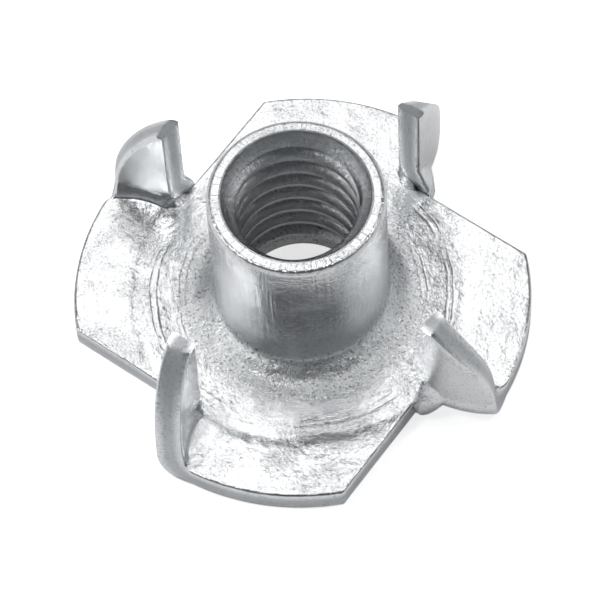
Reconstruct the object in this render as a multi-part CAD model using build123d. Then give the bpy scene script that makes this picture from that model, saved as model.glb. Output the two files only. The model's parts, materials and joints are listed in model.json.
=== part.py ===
from build123d import *
import math
import os

# A prong tee nut stamped and drawn from one piece of steel sheet. All sizes are in millimetres.
# The flange lies flat on z = 0, the barrel axis is Z and the barrel and prongs point up.

# Sheet and flange
sheet = 1.1                    # thickness of the steel sheet
flange_radius = 9.5            # round outline the four lobes are left from
lobe_corner_radius = 0.45      # rounding where a sheared edge meets the round outline
edge_round = 0.14              # softened edges all round the flange
prong_count = 4
first_prong_angle = -39.0      # direction, in degrees, square to the first sheared line

# Barrel, drawn up out of the middle of the flange
overall_height = 8.8           # flange underside to the mouth of the barrel
barrel_radius = 3.6
foot_radius = 1.1              # sweep from the flange top into the barrel wall
lip_round = 0.22               # rounding on the outside of the mouth
bore_radius = 2.5              # tip radius of the M6 x 1 internal thread
mouth_radius = 3.02            # wide end of the 45 degree lead-in at the mouth
draw_radius = 1.0              # rounded entry the drawing punch leaves under the flange

# Prongs, each sheared along a straight line and folded up out of the flange
shear_offset = 6.8             # distance from the barrel axis to each sheared line
notch_setback = 1.18           # from the nearest point of the sheared line back to the prong
prong_height = 5.8             # tip above the top of the flange
tip_width = 0.5                # blunt end left on each prong
tip_drop = 0.2                 # slope of the blunt end, down towards the outer edge
bend_radius = 0.35             # inside radius of the fold
curl_radius = 5.0              # each prong is curled about an upright axis, to its outer face
root_sweep = 0.75              # widening of the inner edge where it meets the flange

# Working values that follow from the sizes above
lead_in_depth = mouth_radius - bore_radius
prong_tip = sheet + prong_height
fold_depth = bend_radius + sheet
curl_centre_y = curl_radius - notch_setback
half_chord = math.sqrt(flange_radius**2 - shear_offset**2)
fold_edge_radius = curl_radius - fold_depth
fold_overlap = 0.3             # flat metal shared by a prong and its lobe
clear_margin = 4.0             # how far cutting shapes run past the metal
fold_swing = 50.0              # sweep of the curled fold, in degrees, from the sheared line outwards


def flap_opening():
    """Plan shape left open in the flange when one prong is folded out of it."""
    fold_start = curl_centre_y - fold_edge_radius
    swing = math.radians(fold_swing)
    fold_end_x = shear_offset + fold_edge_radius * math.sin(swing)
    fold_end_y = curl_centre_y - fold_edge_radius * math.cos(swing)
    reach = flange_radius + clear_margin
    with BuildSketch() as opening:
        with BuildLine():
            Line((shear_offset, -reach), (shear_offset, fold_start))
            CenterArc((shear_offset, curl_centre_y), fold_edge_radius, -90, fold_swing)
            Line((fold_end_x, fold_end_y), (reach, fold_end_y))
            Line((reach, fold_end_y), (reach, -reach))
            Line((reach, -reach), (shear_offset, -reach))
        make_face()
    return opening.sketch


def prong_turns():
    """Direction of each prong in degrees."""
    return [first_prong_angle + 360.0 / prong_count * index for index in range(prong_count)]


def flange_plate():
    """Flat flange: the round blank less the four flaps, with its outer edges softened."""
    outline = Circle(flange_radius)
    for turn in prong_turns():
        outline -= Rot(0, 0, turn) * flap_opening()
    corners = []
    for turn in prong_turns():
        corner = Vector(shear_offset, -half_chord).rotate(Axis.Z, turn)
        corners.append(outline.vertices().sort_by_distance(corner)[0])
    outline = fillet(corners, lobe_corner_radius)
    plate = extrude(outline, sheet)
    rims = plate.edges().group_by(Axis.Z)
    return fillet(rims[0] + rims[-1], edge_round)


def barrel():
    """Barrel turned about Z, with its sweep into the flange and without the bore."""
    foot = barrel_radius + foot_radius
    lip_start = overall_height - lip_round
    with BuildPart() as turned:
        with BuildSketch(Plane.XZ):
            with BuildLine():
                Line((0, 0), (foot, 0))
                Line((foot, 0), (foot, sheet))
                CenterArc((foot, sheet + foot_radius), foot_radius, 180, 90)
                Line((barrel_radius, sheet + foot_radius), (barrel_radius, lip_start))
                CenterArc((barrel_radius - lip_round, lip_start), lip_round, 0, 90)
                Line((barrel_radius - lip_round, overall_height), (0, overall_height))
                Line((0, overall_height), (0, 0))
            make_face()
        revolve(axis=Axis.Z)
    return turned.part


def bore():
    """Space inside the barrel: rounded entry, plain bore at the thread tips, lead-in."""
    entry = bore_radius + draw_radius
    lead_in_start = overall_height - lead_in_depth
    with BuildPart() as hollow:
        with BuildSketch(Plane.XZ):
            with BuildLine():
                Line((0, -clear_margin), (entry, -clear_margin))
                Line((entry, -clear_margin), (entry, 0))
                CenterArc((entry, draw_radius), draw_radius, 180, 90)
                Line((bore_radius, draw_radius), (bore_radius, lead_in_start))
                Line((bore_radius, lead_in_start), (mouth_radius, overall_height))
                Line((mouth_radius, overall_height), (mouth_radius, overall_height + clear_margin))
                Line((mouth_radius, overall_height + clear_margin), (0, overall_height + clear_margin))
                Line((0, overall_height + clear_margin), (0, -clear_margin))
            make_face()
        revolve(axis=Axis.Z)
    return hollow.part


def folded_strip():
    """Strip of sheet folded up square, curled about an upright axis beside the prong."""
    outer = curl_radius
    inner = curl_radius - sheet
    flat_end = fold_edge_radius - fold_overlap
    strip_top = prong_tip + clear_margin
    back_swing = 20.0
    strip_swing = 70.0
    with BuildPart() as strip:
        with BuildSketch(Plane.XZ):
            with BuildLine():
                Line((flat_end, 0), (fold_edge_radius, 0))
                CenterArc((fold_edge_radius, fold_depth), fold_depth, -90, 90)
                Line((outer, fold_depth), (outer, strip_top))
                Line((outer, strip_top), (inner, strip_top))
                Line((inner, strip_top), (inner, fold_depth))
                CenterArc((fold_edge_radius, fold_depth), bend_radius, 0, -90)
                Line((fold_edge_radius, sheet), (flat_end, sheet))
                Line((flat_end, sheet), (flat_end, 0))
            make_face()
        revolve(axis=Axis.Z, revolution_arc=strip_swing)
    turned = Rot(0, 0, -90 - back_swing) * strip.part
    return Pos(shear_offset, curl_centre_y, 0) * turned


def prong_side():
    """Side shape of a prong: upright sheared edge, blunt tip, round outer edge."""
    tip_outer_x = shear_offset + tip_width
    tip_angle = math.degrees(math.acos(tip_outer_x / flange_radius))
    arc_top = prong_tip - tip_drop
    arc_centre = arc_top - flange_radius * math.sin(math.radians(tip_angle))
    foot_angle = -math.degrees(math.asin(arc_centre / flange_radius))
    arc_foot_x = flange_radius * math.cos(math.radians(foot_angle))
    sweep_top = sheet + root_sweep
    inner_x = shear_offset - root_sweep
    with BuildSketch(Plane.XZ) as side:
        with BuildLine():
            Line((inner_x, 0), (inner_x, sheet))
            CenterArc((inner_x, sweep_top), root_sweep, -90, 90)
            Line((shear_offset, sweep_top), (shear_offset, prong_tip))
            Line((shear_offset, prong_tip), (tip_outer_x, arc_top))
            CenterArc((0, arc_centre), flange_radius, tip_angle, foot_angle - tip_angle)
            Line((arc_foot_x, 0), (inner_x, 0))
        make_face()
    return side.sketch


def prong():
    """One prong with the fold that joins it to its lobe."""
    slab = extrude(prong_side(), amount=2 * clear_margin, both=True)
    return folded_strip() & slab


def tee_nut():
    """The whole nut as one solid."""
    nut = flange_plate() + barrel()
    for turn in prong_turns():
        nut += Rot(0, 0, turn) * prong()
    return nut - bore()


os.makedirs("parts", exist_ok=True)
export_step(tee_nut(), "parts/tee_nut.step")
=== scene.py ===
"""Prong tee nut of bright zinc-plated steel: its mesh, its finish and a plain studio."""

import json
import logging
import math
from dataclasses import dataclass, field
from enum import Enum

import bmesh
import bpy
import numpy as np
from mathutils import Matrix, Vector

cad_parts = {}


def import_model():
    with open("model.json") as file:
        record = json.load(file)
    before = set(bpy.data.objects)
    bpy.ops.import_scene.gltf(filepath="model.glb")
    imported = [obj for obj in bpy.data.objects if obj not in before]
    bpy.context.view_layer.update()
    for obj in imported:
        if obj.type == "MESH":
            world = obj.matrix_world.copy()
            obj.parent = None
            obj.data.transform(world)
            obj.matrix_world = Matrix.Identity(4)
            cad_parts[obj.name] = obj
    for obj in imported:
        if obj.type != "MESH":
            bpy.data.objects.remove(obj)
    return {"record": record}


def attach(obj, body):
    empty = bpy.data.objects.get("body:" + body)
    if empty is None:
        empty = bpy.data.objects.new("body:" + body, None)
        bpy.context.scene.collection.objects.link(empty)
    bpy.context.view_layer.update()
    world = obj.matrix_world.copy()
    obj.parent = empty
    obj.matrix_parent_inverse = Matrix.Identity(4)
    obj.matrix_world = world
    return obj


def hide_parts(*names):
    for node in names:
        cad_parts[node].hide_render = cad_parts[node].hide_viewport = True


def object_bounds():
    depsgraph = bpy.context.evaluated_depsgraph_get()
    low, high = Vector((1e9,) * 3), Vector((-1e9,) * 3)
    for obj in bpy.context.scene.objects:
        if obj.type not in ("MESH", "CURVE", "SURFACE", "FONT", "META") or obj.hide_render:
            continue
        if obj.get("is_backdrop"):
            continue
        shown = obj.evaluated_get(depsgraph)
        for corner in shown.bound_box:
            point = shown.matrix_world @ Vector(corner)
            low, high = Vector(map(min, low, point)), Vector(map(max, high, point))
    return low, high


log = logging.getLogger("tee_nut")

MM = 0.001
NODE = "tee_nut"
PRONGS = 4
QUARTER = math.pi / 2


class Zone(Enum):
    """Parts of the surface that the tooling left with a look of their own; the thread zone's depth also
    drives painted shade in the thread roots.
    """

    SHEARED = "sheared"
    LIP = "lip"
    THREAD = "thread"


def smooth_step(low: float, high: float, value: np.ndarray) -> np.ndarray:
    """Smooth ramp 3q^2 - 2q^3, where q runs from 0 at low to 1 at high.

    Args:
        low: Value where the ramp leaves 0.
        high: Value where the ramp reaches 1.
        value: Array to map.

    Returns:
        Array of the same shape, from 0 to 1.
    """
    q = np.clip((value - low) / (high - low), 0.0, 1.0)
    return q * q * (3.0 - 2.0 * q)


def turned(points: np.ndarray, angle: np.ndarray | float) -> np.ndarray:
    """Points turned about Z by an angle.

    Args:
        points: Array whose last axis is x, y, z.
        angle: Angle in radians, one or one for each point.

    Returns:
        Turned points, same shape.
    """
    c, s = np.cos(angle), np.sin(angle)
    x = points[..., 0] * c - points[..., 1] * s
    y = points[..., 0] * s + points[..., 1] * c
    return np.stack([x, y, np.broadcast_to(points[..., 2], x.shape)], axis=-1)


@dataclass
class Shell:
    """Grids of points gathered into one welded mesh, in millimetres."""

    points: list[np.ndarray] = field(default_factory=list)
    faces: list[np.ndarray] = field(default_factory=list)
    zones: dict[Zone, list[np.ndarray]] = field(default_factory=lambda: {zone: [] for zone in Zone})
    count: int = 0

    def add_grid(self, grid: np.ndarray, zones: dict[Zone, np.ndarray | float] | None = None) -> None:
        """Adds a rows by columns grid of points as four-sided faces.

        Args:
            grid: Array of shape (rows, columns, 3).
            zones: Strength from 0 to 1 of each zone on the grid, one or one for each point.
        """
        rows, columns, _ = grid.shape
        index = np.arange(rows * columns).reshape(rows, columns) + self.count
        quads = np.stack([index[:-1, :-1], index[:-1, 1:], index[1:, 1:], index[1:, :-1]], axis=-1)
        self.points.append(grid.reshape(-1, 3))
        self.faces.append(quads.reshape(-1, 4))
        given = zones or {}
        for zone in Zone:
            strength = np.broadcast_to(given.get(zone, 0.0), (rows, columns))
            self.zones[zone].append(strength.reshape(-1))
        self.count += rows * columns

    def weld(self, step: float = 1e-4) -> tuple[np.ndarray, np.ndarray, dict[Zone, np.ndarray]]:
        """Joins points that coincide and drops the faces that close up.

        Args:
            step: Distance in millimetres within which points are one.

        Returns:
            Points, faces as rows of four indices, and each zone's strength for each point.
        """
        points = np.concatenate(self.points)
        faces = np.concatenate(self.faces)
        _, first, inverse = np.unique(np.round(points / step), axis=0, return_index=True, return_inverse=True)
        faces = inverse.reshape(-1)[faces]
        zones = {}
        for zone, parts in self.zones.items():
            strength = np.zeros(len(first))
            np.maximum.at(strength, inverse.reshape(-1), np.concatenate(parts))
            zones[zone] = strength
        same = (faces == np.roll(faces, -1, axis=1)).sum(axis=1)
        return points[first], faces[same < 2], zones

    def build(self, name: str) -> bpy.types.Object:
        """Makes the Blender object, with its zones as point attributes and its faces outwards.

        Args:
            name: Name of the object.

        Returns:
            The new object, at the origin.
        """
        points, faces, zones = self.weld()
        apart = faces != np.roll(faces, -1, axis=1)
        loops = faces[apart]
        sides = apart.sum(axis=1)
        mesh = bpy.data.meshes.new(name)
        mesh.vertices.add(len(points))
        mesh.vertices.foreach_set("co", (points * MM).astype(np.float32).reshape(-1))
        mesh.loops.add(len(loops))
        mesh.loops.foreach_set("vertex_index", loops.astype(np.int32))
        mesh.polygons.add(len(sides))
        mesh.polygons.foreach_set("loop_start", (np.cumsum(sides) - sides).astype(np.int32))
        mesh.update(calc_edges=True)
        mesh.validate()
        for zone, strength in zones.items():
            layer = mesh.attributes.new(zone.value, "FLOAT", "POINT")
            layer.data.foreach_set("value", strength.astype(np.float32))
        body = bmesh.new()
        body.from_mesh(mesh)
        log.info("%s: %d open edges", name, sum(1 for edge in body.edges if not edge.is_manifold))
        bmesh.ops.recalc_face_normals(body, faces=body.faces)
        body.to_mesh(mesh)
        body.free()
        mesh.shade_smooth()
        mesh.set_sharp_from_angle(angle=math.radians(38))
        piece = bpy.data.objects.new(name, mesh)
        bpy.context.scene.collection.objects.link(piece)
        triangles = sum(len(polygon.vertices) - 2 for polygon in mesh.polygons)
        log.info("%s: %d points, %d triangles", name, len(mesh.vertices), triangles)
        return piece


@dataclass(frozen=True)
class Sheet:
    """Flat blank with four sheared lines, and the fold that lifts a prong beside each line.

    Places are in a frame of the prong's own: x runs square to its sheared line, y along it, and
    the flap lies at x beyond the line and at negative y. Sizes are in millimetres.
    """

    flange_radius: float
    thickness: float = 1.1
    foot_circle: float = 4.7
    shear_offset: float = 6.8
    notch_setback: float = 1.18
    first_turn: float = math.radians(-39.0)
    bend_radius: float = 0.35
    curl_radius: float = 5.0
    tip_width: float = 0.5
    tip_cut: float = 0.32
    corner_radius: float = 0.45
    edge_round: float = 0.13
    root_ramp: float = 0.85
    columns: int = 52
    rows: int = 46

    @property
    def half_chord(self) -> float:
        """Distance along the sheared line from its middle to the rim."""
        return math.sqrt(self.flange_radius**2 - self.shear_offset**2)

    @property
    def notch_angle(self) -> float:
        """Direction of the notch from the barrel axis, in the prong's frame."""
        return math.atan2(-self.notch_setback, self.shear_offset)

    @property
    def middle_fold(self) -> float:
        """Radius of the fold at the middle of the sheet."""
        return self.bend_radius + self.thickness / 2

    def turn(self, index: int) -> float:
        """Angle of one prong's frame about the barrel axis.

        Args:
            index: Number of the prong, counting against the clock from above.

        Returns:
            Angle in radians.
        """
        return self.first_turn + index * QUARTER

    def across(self) -> np.ndarray:
        """Shares of a quarter turn for the grid's lines, closer together beside the sheared lines.

        Returns:
            Increasing values from 0 to 1.
        """
        near = 0.09 * np.linspace(0.0, 1.0, 12, endpoint=False) ** 2.2
        middle = np.linspace(0.09, 0.91, self.columns)
        return np.concatenate([near, middle, 1.0 - near[::-1]])

    def lines(self) -> tuple[np.ndarray, int]:
        """Flat places of the grid: one line, turned by each share of a quarter turn.

        The line runs out from the foot circle to the notch, then along the sheared line to the
        rim. Turned copies of it sweep a lobe and its prong, and the first and last copies are
        the two sides of the cuts. Beside the prong's tip the lines stop at its blunt end, and at
        the lobe's corner they stop at an arc that touches the sheared line and the rim.

        Returns:
            Array of shape (rows, columns, 3) with z 0, and the row that holds the notch.
        """
        share = self.across()
        notch = math.hypot(self.shear_offset, self.notch_setback)
        inward = self.foot_circle + (notch - self.foot_circle) * np.linspace(0.0, 1.0, 12)[:-1] ** 0.8
        radial = np.stack([inward * math.cos(self.notch_angle), inward * math.sin(self.notch_angle)], axis=-1)
        angle = share * QUARTER
        c, s = np.cos(angle), np.sin(angle)
        start_x = self.shear_offset * c + self.notch_setback * s
        start_y = self.shear_offset * s - self.notch_setback * c
        run = np.full_like(angle, self.half_chord - self.notch_setback)
        tip_y = -self.half_chord + self.tip_cut
        shoulder_x = self.shear_offset + self.tip_width
        shoulder_y = -math.sqrt(self.flange_radius**2 - shoulder_x**2)
        edge = np.array([shoulder_y - tip_y, self.shear_offset - shoulder_x])
        edge = edge / np.linalg.norm(edge)
        level = edge @ np.array([self.shear_offset, tip_y])
        toward = edge[0] * s - edge[1] * c
        toward = np.where(np.abs(toward) < 1e-6, 1e-6, toward)
        blunt = (level - edge[0] * start_x - edge[1] * start_y) / toward
        run = np.where((blunt > 0) & (share < 0.25), np.minimum(run, blunt), run)
        centre_r, centre_x = self.flange_radius - self.corner_radius, self.shear_offset - self.corner_radius
        centre = np.array([math.sqrt(centre_r**2 - centre_x**2), centre_x])
        off_x, off_y = centre[0] - start_x, centre[1] - start_y
        aside = off_x * c + off_y * s
        reach_arc = off_x * s - off_y * c + np.sqrt(np.clip(self.corner_radius**2 - aside**2, 0.0, None))
        hit = np.arctan2(start_y - reach_arc * c, start_x + reach_arc * s)
        touching = np.abs(aside) <= self.corner_radius + 1e-9
        in_corner = (share > 0.5) & touching & (hit > math.atan2(centre[1], centre[0]))
        run = np.where(in_corner, np.minimum(run, reach_arc), run)
        even = np.linspace(0.0, 0.965, self.rows) ** 1.06
        reach = np.concatenate([even, [0.975, 0.984, 0.991, 0.996, 1.0]])
        distance = reach[:, None] * run[None, :]
        chord = np.stack([start_x + distance * s, start_y - distance * c], axis=-1)
        flat_radial = np.concatenate([radial, np.zeros((len(radial), 1))], axis=1)
        inner = turned(flat_radial[:, None, :], angle[None, :])
        outer = np.concatenate([chord, np.zeros(chord.shape[:2] + (1,))], axis=-1)
        return np.concatenate([inner, outer]), len(radial)

    def lift(self, x: np.ndarray, y: np.ndarray) -> np.ndarray:
        """Share of the full fold at each flat place.

        It is 1 on the flap, 0 on the rest, and turns from one to the other round the notch.

        Args:
            x: Distance square to the sheared line.
            y: Distance along it.

        Returns:
            Values from 0 to 1.
        """
        away_x = x - self.shear_offset
        away_y = y + self.notch_setback
        round_notch = np.degrees(np.arctan2(away_x, -away_y))
        round_notch = np.where(round_notch < -60.0, round_notch + 360.0, round_notch)
        ramp = smooth_step(0.0, self.root_ramp, np.hypot(away_x, away_y))
        return (1.0 - smooth_step(135.0, 205.0, round_notch)) * ramp

    def middle(self, x: np.ndarray, y: np.ndarray) -> np.ndarray:
        """Middle of the folded sheet above each flat place.

        Short of the fold line the sheet is flat. Past it, a length h of sheet turns up through
        the angle h over the fold radius, and past a quarter turn it runs straight up. The fold
        line is an arc, because the prong is curled about an upright axis.

        Args:
            x: Distance square to the sheared line.
            y: Distance along it.

        Returns:
            Array of x, y, z.
        """
        curl = self.curl_radius - self.thickness / 2
        centre_y = self.curl_radius - self.notch_setback
        off = np.clip(x - self.shear_offset, -0.95 * curl, 0.95 * curl)
        line_y = centre_y - np.sqrt(curl**2 - off**2) + self.middle_fold
        length = np.clip(line_y - y, 0.0, None)
        angle = np.minimum(length / self.middle_fold, QUARTER)
        above = length - angle * self.middle_fold
        folded_y = np.where(length > 0, line_y - self.middle_fold * np.sin(angle), y)
        folded_z = self.middle_fold * (1.0 - np.cos(angle)) + above
        share = self.lift(x, y)
        z = self.thickness / 2 + share * folded_z
        return np.stack([x, y + share * (folded_y - y), z], axis=-1)

    def half_thickness(self, x: np.ndarray, y: np.ndarray) -> np.ndarray:
        """Half the sheet's thickness, rounded off towards its edges by a quarter circle.

        Args:
            x: Distance square to the prong's sheared line.
            y: Distance along it.

        Returns:
            Half thickness at each place.
        """
        rim = self.flange_radius - np.hypot(x, y)
        own_line = np.where(y < -self.notch_setback, np.abs(x - self.shear_offset),
                            np.hypot(x - self.shear_offset, y + self.notch_setback))
        next_x, next_y = y, -x
        next_line = np.where(next_y < -self.notch_setback, np.abs(self.shear_offset - next_x),
                             np.hypot(next_x - self.shear_offset, next_y + self.notch_setback))
        near = np.minimum(np.minimum(rim, own_line), next_line)
        near = np.clip(near, 0.0, self.edge_round)
        drop = self.edge_round - np.sqrt(self.edge_round**2 - (self.edge_round - near) ** 2)
        return self.thickness / 2 - drop

    def faces(self) -> tuple[np.ndarray, np.ndarray, int]:
        """Upper and lower face of a lobe and its prong, half a thickness each side of the middle.

        The direction across the sheet is the cross product of the middle's two slopes.

        Returns:
            Upper points, lower points, and the row that holds the notch.
        """
        flat, notch_row = self.lines()
        x, y = flat[..., 0], flat[..., 1]
        step = 1e-3
        slope_x = self.middle(x + step, y) - self.middle(x - step, y)
        slope_y = self.middle(x, y + step) - self.middle(x, y - step)
        across = np.cross(slope_x, slope_y)
        across /= np.linalg.norm(across, axis=-1, keepdims=True)
        centre = self.middle(x, y)
        half = self.half_thickness(x, y)[..., None] * across
        return centre + half, centre - half, notch_row


@dataclass(frozen=True)
class Flange:
    """Four lobes and four prongs, as the folded sheet with its cut edges."""

    sheet: Sheet
    band_rows: int = 4

    def add_to(self, shell: Shell) -> None:
        """Adds both faces and the edge of each lobe and prong.

        The edge is ruled straight between the borders of the two faces, along the prong's
        sheared side, the rim and the lobe's sheared side in turn.

        Args:
            shell: Mesh to add to.
        """
        upper, lower, notch = self.sheet.faces()
        share = np.linspace(0.0, 1.0, self.band_rows)[:, None, None]
        for index in range(PRONGS):
            angle = self.sheet.turn(index)
            following = self.sheet.turn((index + 1) % PRONGS)
            top, bottom = turned(upper, angle), turned(lower, angle)
            top[:notch + 1, -1] = turned(upper[:notch + 1, 0], following)
            bottom[:notch + 1, -1] = turned(lower[:notch + 1, 0], following)
            shell.add_grid(top)
            shell.add_grid(bottom)
            borders = []
            for face in (top, bottom):
                sides = [face[notch:, 0], face[-1, 1:], face[notch:-1, -1][::-1]]
                borders.append(np.concatenate(sides))
            band = borders[0][None] * (1.0 - share) + borders[1][None] * share
            sheared = np.zeros(band.shape[:2])
            sheared[1:-1] = 1.0
            shell.add_grid(band, {Zone.SHEARED: sheared})
        log.info("flange: %d lobes and prongs", PRONGS)


@dataclass(frozen=True)
class Barrel:
    """Outside of the barrel, its lip and the entry under the flange, turned about Z."""

    sheet: Sheet
    height: float
    bore_radius: float
    radius: float = 3.6
    lip_round: float = 0.24
    mouth_radius: float = 3.02
    draw_radius: float = 1.0
    entry_end: float = 0.95

    def turn_angles(self) -> np.ndarray:
        """Directions of the columns, which meet the flange's lines at the foot circle.

        Returns:
            Angles in radians, one full turn with the first repeated.
        """
        share = self.sheet.across()[:-1]
        first = self.sheet.notch_angle + share * QUARTER
        quarters = [self.sheet.turn(index) + first for index in range(PRONGS)]
        angles = np.concatenate(quarters)
        return np.append(angles, angles[0] + 2 * math.pi)

    def spin(self, radii: np.ndarray, levels: np.ndarray) -> np.ndarray:
        """Surface of revolution: each radius and level swept round Z.

        Args:
            radii: Distance from the axis along the profile.
            levels: Height along the profile.

        Returns:
            Array of shape (profile, columns, 3).
        """
        angle = self.turn_angles()
        x = radii[:, None] * np.cos(angle)
        y = radii[:, None] * np.sin(angle)
        return np.stack([x, y, np.broadcast_to(levels[:, None], x.shape)], axis=-1)

    def funnel(self, level: np.ndarray) -> np.ndarray:
        """Radius of the rounded entry at a level: a quarter circle that opens downwards.

        Args:
            level: Height above the flange underside.

        Returns:
            Radius, equal to the bore above the entry.
        """
        below = np.clip(self.draw_radius - level, 0.0, self.draw_radius)
        return self.bore_radius + self.draw_radius - np.sqrt(self.draw_radius**2 - below**2)

    def add_to(self, shell: Shell) -> None:
        """Adds the foot, wall, lip and top ring, and the ring and entry underneath.

        Args:
            shell: Mesh to add to.
        """
        base = self.sheet.thickness
        sweep = self.sheet.foot_circle - self.radius
        turn = np.linspace(0.0, QUARTER, 12)
        foot_r = self.sheet.foot_circle - sweep * np.sin(turn)
        foot_z = base + sweep * (1.0 - np.cos(turn))
        wall_z = np.linspace(base + sweep, self.height - self.lip_round, 7)[1:-1]
        lip_r = self.radius - self.lip_round * (1.0 - np.cos(turn[::2]))
        lip_z = self.height - self.lip_round * (1.0 - np.sin(turn[::2]))
        ring_r = np.linspace(self.radius - self.lip_round, self.mouth_radius, 5)[1:]
        end = [self.radius - self.lip_round, self.height]
        radii = np.concatenate([foot_r, np.full(5, self.radius), lip_r, end[:1], ring_r])
        levels = np.concatenate([foot_z, wall_z, lip_z, end[1:], np.full(4, self.height)])
        lip = smooth_step(self.height - 0.12, self.height - 0.02, levels)[:, None]
        shell.add_grid(self.spin(radii, levels), {Zone.LIP: lip})
        ring = np.linspace(self.sheet.foot_circle, self.bore_radius + self.draw_radius, 4)
        entry_z = self.entry_end * np.linspace(0.0, 1.0, 9)[1:] ** 2
        radii = np.concatenate([ring, self.funnel(entry_z)])
        levels = np.concatenate([np.zeros(4), entry_z])
        shell.add_grid(self.spin(radii, levels))
        log.info("barrel: %.1f mm tall", self.height)


@dataclass(frozen=True)
class Thread:
    """Right-hand metric thread cut inside the barrel."""

    barrel: Barrel
    pitch: float = 1.0
    depth: float = 0.5
    crest: float = 0.3
    root: float = 0.125
    rounding: float = 0.06

    def profile(self) -> tuple[np.ndarray, np.ndarray]:
        """Section of one pitch: a flat crest, a straight flank, a narrow root and a flank back.

        Returns:
            Places along the pitch from 0 to 1, and the depth cut at each.
        """
        flank = (1.0 - self.crest - self.root) / 2
        corner = self.rounding
        ease = corner * self.depth / flank / 2
        start = np.array([corner, self.crest - corner, self.crest + corner])
        root_start = self.crest + flank
        root_end = root_start + self.root
        middle = np.array([root_start - flank / 2, root_start - corner, root_start + corner])
        last = np.array([root_end - corner, root_end + corner, root_end + flank / 2, 1.0 - corner])
        places = np.concatenate([start, middle, last])
        half = self.depth / 2
        cut = np.array([0, 0, ease * 2, half, self.depth - ease * 2, self.depth,
                        self.depth, self.depth - ease * 2, half, ease * 2])
        return places, cut

    def add_to(self, shell: Shell) -> None:
        """Adds the bore: rows that follow the helix, cut off at the mouth and at the entry.

        Along a row the level rises by one pitch a turn, and the radius is the bore plus the
        depth cut, or the lead-in cone or the entry where that is wider.

        Args:
            shell: Mesh to add to.
        """
        angle = self.barrel.turn_angles()
        places, cut = self.profile()
        low, high = self.barrel.entry_end, self.barrel.height
        turns = math.ceil((high - low) / self.pitch) + 3
        rows = (np.arange(turns)[:, None] - 2.0 + places[None, :]).reshape(-1) * self.pitch
        depth = np.tile(cut, turns)
        rise = self.pitch * (angle - angle[0]) / (2 * math.pi)
        level = np.clip(low + rows[:, None] + rise[None, :], low, high)
        run_out = smooth_step(low, low + 0.8 * self.pitch, level)
        bore = self.barrel.bore_radius + depth[:, None] * run_out
        cone = self.barrel.mouth_radius - (high - level)
        radius = np.maximum(np.maximum(bore, cone), self.barrel.funnel(level))
        grid = np.stack([radius * np.cos(angle), radius * np.sin(angle), level], axis=-1)
        turn_rows = len(places)
        grid[:-turn_rows, -1] = grid[turn_rows:, 0]
        grid[-turn_rows:, -1] = grid[-1, 0]
        # Depth share into the groove, which the finish uses for roughness and for painted shade in the thread
        # roots.
        deep = np.clip((radius - self.barrel.bore_radius) / self.depth, 0.0, 1.0)
        shell.add_grid(grid, {Zone.THREAD: deep})
        log.info("thread: %.2f mm pitch", self.pitch)


class Nodes:
    """Short way to lay out shader nodes in one tree."""

    def __init__(self, tree: bpy.types.NodeTree) -> None:
        """Keeps the tree and empties it.

        Args:
            tree: Tree to fill.
        """
        self.tree = tree
        tree.nodes.clear()

    def add(self, kind: str, **settings: object) -> bpy.types.Node:
        """Adds a node and sets its properties.

        Args:
            kind: Blender's type name for the node.
            settings: Property names and values.

        Returns:
            The new node.
        """
        node = self.tree.nodes.new(kind)
        for name, value in settings.items():
            setattr(node, name, value)
        return node

    def feed(self, socket: bpy.types.NodeSocket, value: object) -> None:
        """Links an output to a socket, or sets the socket's value.

        Args:
            socket: Input socket.
            value: Output socket or plain value.
        """
        if isinstance(value, bpy.types.NodeSocket):
            self.tree.links.new(value, socket)
        else:
            socket.default_value = value

    def math(self, operation: str, *values: object, clamp: bool = False) -> bpy.types.NodeSocket:
        """Adds a maths node.

        Args:
            operation: Operation name.
            values: Its inputs in order.
            clamp: Keeps the result from 0 to 1.

        Returns:
            The result.
        """
        node = self.add("ShaderNodeMath", operation=operation, use_clamp=clamp)
        for socket, value in zip(node.inputs, values):
            self.feed(socket, value)
        return node.outputs[0]

    def band(self, value: object, low: float, high: float,
             start: float = 0.0, end: float = 1.0) -> bpy.types.NodeSocket:
        """Maps a value smoothly from one range to another.

        Args:
            value: Input.
            low: Input that gives start.
            high: Input that gives end.
            start: Result at low.
            end: Result at high.

        Returns:
            The result.
        """
        node = self.add("ShaderNodeMapRange", interpolation_type="SMOOTHSTEP")
        for socket, given in zip(node.inputs, (value, low, high, start, end)):
            self.feed(socket, given)
        return node.outputs[0]

    def noise(self, vector: object, scale: float,
              detail: float = 3.0, rough: float = 0.5) -> bpy.types.NodeSocket:
        """Adds noise.

        Args:
            vector: Place to read it at.
            scale: Cells for each unit.
            detail: Octaves.
            rough: How strong the finer octaves are.

        Returns:
            The noise, about 0 to 1.
        """
        node = self.add("ShaderNodeTexNoise")
        self.feed(node.inputs["Vector"], vector)
        node.inputs["Scale"].default_value = scale
        node.inputs["Detail"].default_value = detail
        node.inputs["Roughness"].default_value = rough
        return node.outputs["Fac"]

    def stretch(self, vector: object, factors: tuple[float, float, float]) -> bpy.types.NodeSocket:
        """Scales a place by a factor for each axis.

        Args:
            vector: Place.
            factors: Factor for x, y and z.

        Returns:
            The scaled place.
        """
        node = self.add("ShaderNodeVectorMath", operation="MULTIPLY")
        self.feed(node.inputs[0], vector)
        node.inputs[1].default_value = factors
        return node.outputs[0]


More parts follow.
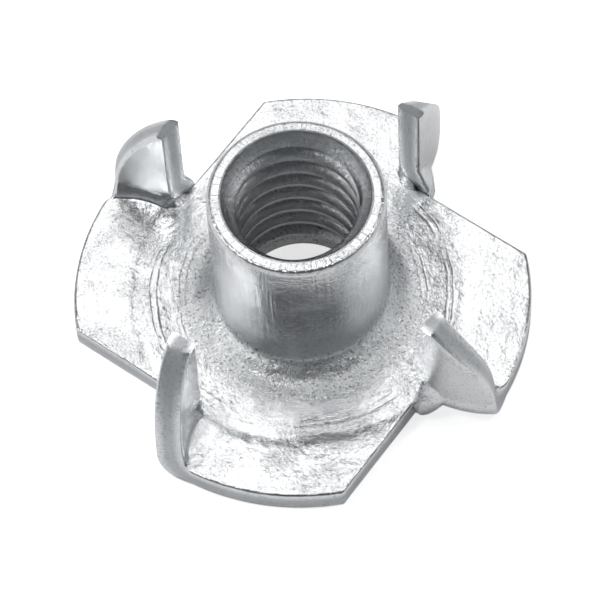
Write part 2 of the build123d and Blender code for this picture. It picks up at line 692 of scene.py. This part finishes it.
def surface_group() -> bpy.types.NodeTree:
    """Node group that turns a place in millimetres into the plate's grain and tool marks.

    Returns:
        Group with the inputs Place, and the outputs Grain, Speck, Cloud, Wave, Dish, Draw, Ticks,
        Rings and Radius.
    """
    tree = bpy.data.node_groups.new("plated_surface", "ShaderNodeTree")
    tree.interface.new_socket("Place", in_out="INPUT", socket_type="NodeSocketVector")
    for name in ("Grain", "Speck", "Cloud", "Wave", "Dish", "Draw", "Ticks", "Rings", "Radius"):
        tree.interface.new_socket(name, in_out="OUTPUT", socket_type="NodeSocketFloat")
    n = Nodes(tree)
    start = n.add("NodeGroupInput")
    end = n.add("NodeGroupOutput")
    place = start.outputs["Place"]
    parts = n.add("ShaderNodeSeparateXYZ")
    n.feed(parts.inputs[0], place)
    square = n.math("ADD", n.math("POWER", parts.outputs[0], 2.0), n.math("POWER", parts.outputs[1], 2.0))
    radius = n.math("SQRT", square)
    angle = n.math("ARCTAN2", parts.outputs[1], parts.outputs[0])
    around = n.add("ShaderNodeCombineXYZ")
    n.feed(around.inputs[0], n.math("MULTIPLY", n.math("COSINE", angle), 3.6))
    n.feed(around.inputs[1], n.math("MULTIPLY", n.math("SINE", angle), 3.6))
    n.feed(around.inputs[2], n.math("MULTIPLY", parts.outputs[2], 0.05))
    n.feed(end.inputs["Grain"], n.noise(place, 6.5, 6.0, 0.62))
    n.feed(end.inputs["Speck"], n.noise(place, 9.0, 5.0, 0.7))
    n.feed(end.inputs["Cloud"], n.noise(place, 0.55, 4.0, 0.55))
    n.feed(end.inputs["Wave"], n.noise(place, 1.3, 3.0, 0.5))
    n.feed(end.inputs["Ticks"], n.noise(around.outputs[0], 4.2, 3.0, 0.5))
    n.feed(end.inputs["Draw"], n.noise(around.outputs[0], 5.0, 4.0, 0.6))
    waver = n.math("MULTIPLY", n.math("SUBTRACT", n.noise(place, 0.5, 2.0), 0.5), 0.35)
    wavy = n.math("ADD", radius, waver)
    uneven = n.math("ADD", radius, n.math("MULTIPLY", waver, 2.0))
    rise = n.band(uneven, 6.8, 7.4, 0.0, 0.32)
    n.feed(end.inputs["Dish"], n.math("ADD", n.band(uneven, 4.7, 6.9, 1.0, 0.0), rise))
    rings = []
    for middle, width in ((4.95, 0.10), (5.2, 0.07), (6.1, 0.10), (6.35, 0.07)):
        away = n.math("ABSOLUTE", n.math("SUBTRACT", wavy, middle))
        rings.append(n.band(away, 0.0, width, 1.0, 0.0))
    inner, outer = n.math("MAXIMUM", rings[0], rings[1]), n.math("MAXIMUM", rings[2], rings[3])
    total = n.math("ADD", inner, outer, clamp=True)
    n.feed(end.inputs["Rings"], n.math("MULTIPLY", total, n.band(n.noise(place, 0.4, 2.0), 0.45, 0.62)))
    n.feed(end.inputs["Radius"], radius)
    return tree


@dataclass(frozen=True)
class ZincPlate:
    """Bright zinc plate over drawn steel: grainy where the metal stretched, matt where sheared, with painted
    shade in the thread grooves.
    """

    bright: tuple[float, float, float, float] = (0.83, 0.84, 0.85, 1.0)
    dull: tuple[float, float, float, float] = (0.55, 0.565, 0.58, 1.0)
    dark: tuple[float, float, float, float] = (0.16, 0.17, 0.18, 1.0)
    smooth: float = 0.13
    rough: float = 0.42
    grain_depth: float = 0.036

    def material(self) -> bpy.types.Material:
        """Builds the material.

        Returns:
            The material.
        """
        finish = bpy.data.materials.new("bright_zinc_plate")
        finish.use_nodes = True
        n = Nodes(finish.node_tree)
        place = n.stretch(n.add("ShaderNodeTexCoord").outputs["Object"], (1000.0, 1000.0, 1000.0))
        surface = n.add("ShaderNodeGroup", node_tree=surface_group())
        n.feed(surface.inputs["Place"], place)
        grain, cloud = surface.outputs["Grain"], surface.outputs["Cloud"]
        zone = {kind: n.add("ShaderNodeAttribute", attribute_name=kind.value).outputs["Fac"] for kind in Zone}
        height = n.add("ShaderNodeSeparateXYZ")
        n.feed(height.inputs[0], place)
        radius, level = surface.outputs["Radius"], height.outputs[2]
        wall = n.math("MULTIPLY", n.band(radius, 3.75, 3.62), n.band(level, 2.2, 3.0))
        stretched = n.math("MULTIPLY", n.band(radius, 5.6, 4.6), n.band(level, 2.6, 1.6))
        patches = n.band(cloud, 0.42, 0.66)
        cloudy = n.math("MULTIPLY", patches, 0.45)
        coarse = n.math("ADD", n.math("MULTIPLY", stretched, 0.8), cloudy, clamp=True)
        matt = n.math("MAXIMUM", zone[Zone.SHEARED], n.math("MULTIPLY", zone[Zone.THREAD], 0.35))
        colour = n.add("ShaderNodeMix", data_type="RGBA")
        grainy = n.math("MULTIPLY", n.band(grain, 0.5, 0.7), n.math("MULTIPLY", coarse, 0.5))
        # Dull colour on the sheared edges and on grain where the metal stretched; the thread share of matt
        # adds painted shade towards the thread roots.
        dull_finish_and_thread_shade = n.math("ADD", n.math("MULTIPLY", matt, 0.75), grainy, clamp=True)
        n.feed(colour.inputs[0], dull_finish_and_thread_shade)
        colour.inputs[6].default_value = self.bright
        colour.inputs[7].default_value = self.dull
        spread = n.math("ADD", 0.3, n.math("MULTIPLY", n.math("MAXIMUM", coarse, zone[Zone.THREAD]), 0.75))
        specks = n.math("MULTIPLY", n.band(surface.outputs["Speck"], 0.52, 0.66), spread, clamp=True)
        # Dark colour from two sources: random specks of grain, and painted shade in the thread grooves that
        # is darkest at their roots.
        specks_and_thread_shade = n.add("ShaderNodeMix", data_type="RGBA")
        deep = n.math("MULTIPLY", zone[Zone.THREAD], 0.55)
        n.feed(specks_and_thread_shade.inputs[0], n.math("MAXIMUM", specks, deep))
        n.feed(specks_and_thread_shade.inputs[6], colour.outputs[2])
        specks_and_thread_shade.inputs[7].default_value = self.dark
        rough = n.math("ADD", self.smooth, n.math("MULTIPLY", grain, 0.12))
        rough = n.math("ADD", rough, n.math("MULTIPLY", coarse, 0.10))
        rough = n.math("ADD", rough, n.math("MULTIPLY", matt, self.rough - self.smooth))
        relief = n.math("MULTIPLY", grain, n.math("ADD", 0.5, n.math("MULTIPLY", coarse, 0.9)))
        on_flange = n.band(level, 1.9, 1.3)
        marks = (("Draw", wall, 1.1), ("Wave", on_flange, 2.2), ("Dish", on_flange, 5.0),
                 ("Rings", on_flange, -0.35), ("Ticks", zone[Zone.LIP], 1.3),
                 ("Speck", zone[Zone.THREAD], 1.2))
        for mark, where, depth in marks:
            shown = n.math("MULTIPLY", surface.outputs[mark], where)
            relief = n.math("ADD", relief, n.math("MULTIPLY", shown, depth))
        bump = n.add("ShaderNodeBump")
        bump.inputs["Strength"].default_value = 1.0
        bump.inputs["Distance"].default_value = self.grain_depth * MM
        n.feed(bump.inputs["Height"], relief)
        shader = n.add("ShaderNodeBsdfPrincipled")
        shader.inputs["Metallic"].default_value = 1.0
        n.feed(shader.inputs["Base Color"], specks_and_thread_shade.outputs[2])
        n.feed(shader.inputs["Roughness"], rough)
        n.feed(shader.inputs["Normal"], bump.outputs[0])
        output = n.add("ShaderNodeOutputMaterial")
        n.feed(output.inputs[0], shader.outputs[0])
        return finish


@dataclass(frozen=True)
class Lamp:
    """Square soft lamp that faces the object.

    Its place and side are multiples of the object's span, and a radiance of 1 is white. A lamp
    that metal doesn't mirror only lights the floor, where it gives the object its shadow.
    """

    name: str
    place: tuple[float, float, float]
    side: float
    radiance: float
    mirrored: bool = True

    def add_to(self, scene: bpy.types.Scene, span: float) -> None:
        """Adds the lamp to a scene.

        Args:
            scene: Scene to add to.
            span: Width of the object in metres.
        """
        data = bpy.data.lights.new(self.name, "AREA")
        data.size = self.side * span
        data.energy = self.radiance * math.pi * data.size**2
        where = Vector(self.place) * span
        lamp = bpy.data.objects.new(self.name, data)
        lamp.location = where
        lamp.rotation_euler = where.to_track_quat("Z", "Y").to_euler()
        lamp.visible_glossy = self.mirrored
        scene.collection.objects.link(lamp)


LAMPS = (
    Lamp("back_softbox", (-0.5, 5.0, 7.0), 5.6, 1.3),
    Lamp("left_softbox", (-7.0, 0.5, 3.6), 3.6, 1.7),
    Lamp("right_softbox", (7.0, 0.5, 3.6), 2.4, 1.7),
    Lamp("top_softbox", (0.0, 1.5, 8.0), 3.2, 1.5),
    Lamp("left_strip", (-4.0, -0.9, 7.0), 1.8, 10.0),
    Lamp("right_strip", (4.2, 0.4, 7.0), 1.5, 10.0),
    Lamp("key", (-4.0, 3.0, 8.0), 2.2, 9.0, mirrored=False),
)


@dataclass(frozen=True)
class Studio:
    """Pale floor, soft lamps and the camera."""

    span: float
    elevation: float = 60.7
    roll: float = -3.8
    distance_ratio: float = 16.14
    lens_ratio: float = 6.17

    def floor(self) -> bpy.types.Object:
        """Makes the pale floor, which shows white to the camera and keeps a soft shadow.

        Returns:
            The floor.
        """
        size = self.span * 60
        mesh = bpy.data.meshes.new("floor")
        corners = [(-size, -size, 0), (size, -size, 0), (size, size, 0), (-size, size, 0)]
        mesh.from_pydata(corners, [], [(0, 1, 2, 3)])
        floor = bpy.data.objects.new("floor", mesh)
        bpy.context.scene.collection.objects.link(floor)
        finish = bpy.data.materials.new("pale_floor")
        finish.use_nodes = True
        n = Nodes(finish.node_tree)
        plain = n.add("ShaderNodeBsdfDiffuse")
        plain.inputs["Color"].default_value = (0.93, 0.93, 0.935, 1.0)
        path = n.add("ShaderNodeLightPath")
        glow = n.add("ShaderNodeEmission")
        glow.inputs["Color"].default_value = (1.0, 1.0, 1.0, 1.0)
        seen = n.math("MULTIPLY", path.outputs["Is Camera Ray"], 0.7)
        mirrored = n.math("MULTIPLY", path.outputs["Is Glossy Ray"], 0.08)
        n.feed(glow.inputs["Strength"], n.math("ADD", seen, mirrored))
        both = n.add("ShaderNodeAddShader")
        n.feed(both.inputs[0], plain.outputs[0])
        n.feed(both.inputs[1], glow.outputs[0])
        output = n.add("ShaderNodeOutputMaterial")
        n.feed(output.inputs[0], both.outputs[0])
        mesh.materials.append(finish)
        floor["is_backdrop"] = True
        return floor

    def world(self) -> None:
        """Sets a world with a pale horizon and a dimmer top, which the camera sees as white."""
        world = bpy.data.worlds.new("studio")
        bpy.context.scene.world = world
        world.use_nodes = True
        n = Nodes(world.node_tree)
        path = n.add("ShaderNodeLightPath")
        seen = n.add("ShaderNodeBackground")
        seen.inputs[0].default_value = (1.0, 1.0, 1.0, 1.0)
        fill = n.add("ShaderNodeBackground")
        fill.inputs[0].default_value = (0.9, 0.95, 1.0, 1.0)
        ways = n.add("ShaderNodeSeparateXYZ")
        n.feed(ways.inputs[0], n.add("ShaderNodeTexCoord").outputs["Generated"])
        n.feed(fill.inputs[1], n.band(ways.outputs[2], 0.12, 0.62, 0.34, 0.08))
        mix = n.add("ShaderNodeMixShader")
        n.feed(mix.inputs[0], path.outputs["Is Camera Ray"])
        n.feed(mix.inputs[1], fill.outputs[0])
        n.feed(mix.inputs[2], seen.outputs[0])
        output = n.add("ShaderNodeOutputWorld")
        n.feed(output.inputs[0], mix.outputs[0])

    def camera(self, target: Vector) -> None:
        """Places the camera in front of the object, looking down at it.

        Args:
            target: Point that it looks at.
        """
        tilt, roll = math.radians(self.elevation), math.radians(self.roll)
        back = Vector((0.0, -math.cos(tilt), math.sin(tilt)))
        right, up = Vector((1.0, 0.0, 0.0)), Vector((0.0, math.sin(tilt), math.cos(tilt)))
        side = right * math.cos(roll) + up * math.sin(roll)
        top = up * math.cos(roll) - right * math.sin(roll)
        turn = Matrix((side, top, back)).transposed()
        data = bpy.data.cameras.new("camera")
        data.sensor_width = 36.0
        data.lens = 36.0 * self.lens_ratio
        data.clip_start = 0.001
        camera = bpy.data.objects.new("camera", data)
        place = target + back * self.distance_ratio * self.span / 2
        camera.matrix_world = Matrix.Translation(place) @ turn.to_4x4()
        bpy.context.scene.collection.objects.link(camera)
        bpy.context.scene.camera = camera


def record_radius(record: dict, mount: str) -> float:
    """Radius in millimetres that the record gives a round mount.

    Args:
        record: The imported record.
        mount: Name of the mount.

    Returns:
        The radius.
    """
    return next(entry["dims"]["r_mm"] for entry in record["mounts"] if entry["name"] == mount)


def main() -> None:
    """Loads the frame, builds the nut over it, and sets up the studio."""
    logging.basicConfig(level=logging.INFO, format="%(name)s: %(message)s")
    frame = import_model()
    low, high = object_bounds()
    span = high[0] - low[0]
    sheet = Sheet(flange_radius=span / 2 / MM)
    bore = record_radius(frame["record"], "threaded_bore")
    wall = record_radius(frame["record"], "barrel_outside")
    barrel = Barrel(sheet, height=high[2] / MM, bore_radius=bore, radius=wall)
    shell = Shell()
    for part in (Flange(sheet), barrel, Thread(barrel)):
        part.add_to(shell)
    nut = shell.build("tee_nut_shell")
    nut.data.materials.append(ZincPlate().material())
    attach(nut, "root")
    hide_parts(NODE)
    studio = Studio(span)
    studio.floor()
    studio.world()
    for lamp in LAMPS:
        lamp.add_to(bpy.context.scene, span)
    target = Vector((-0.0062 * span, -0.022 * span, sheet.thickness * MM))
    studio.camera(target)
    view = bpy.context.scene.view_settings
    view.view_transform = "Standard"
    low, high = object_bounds()


if __name__ == "__main__":
    main()
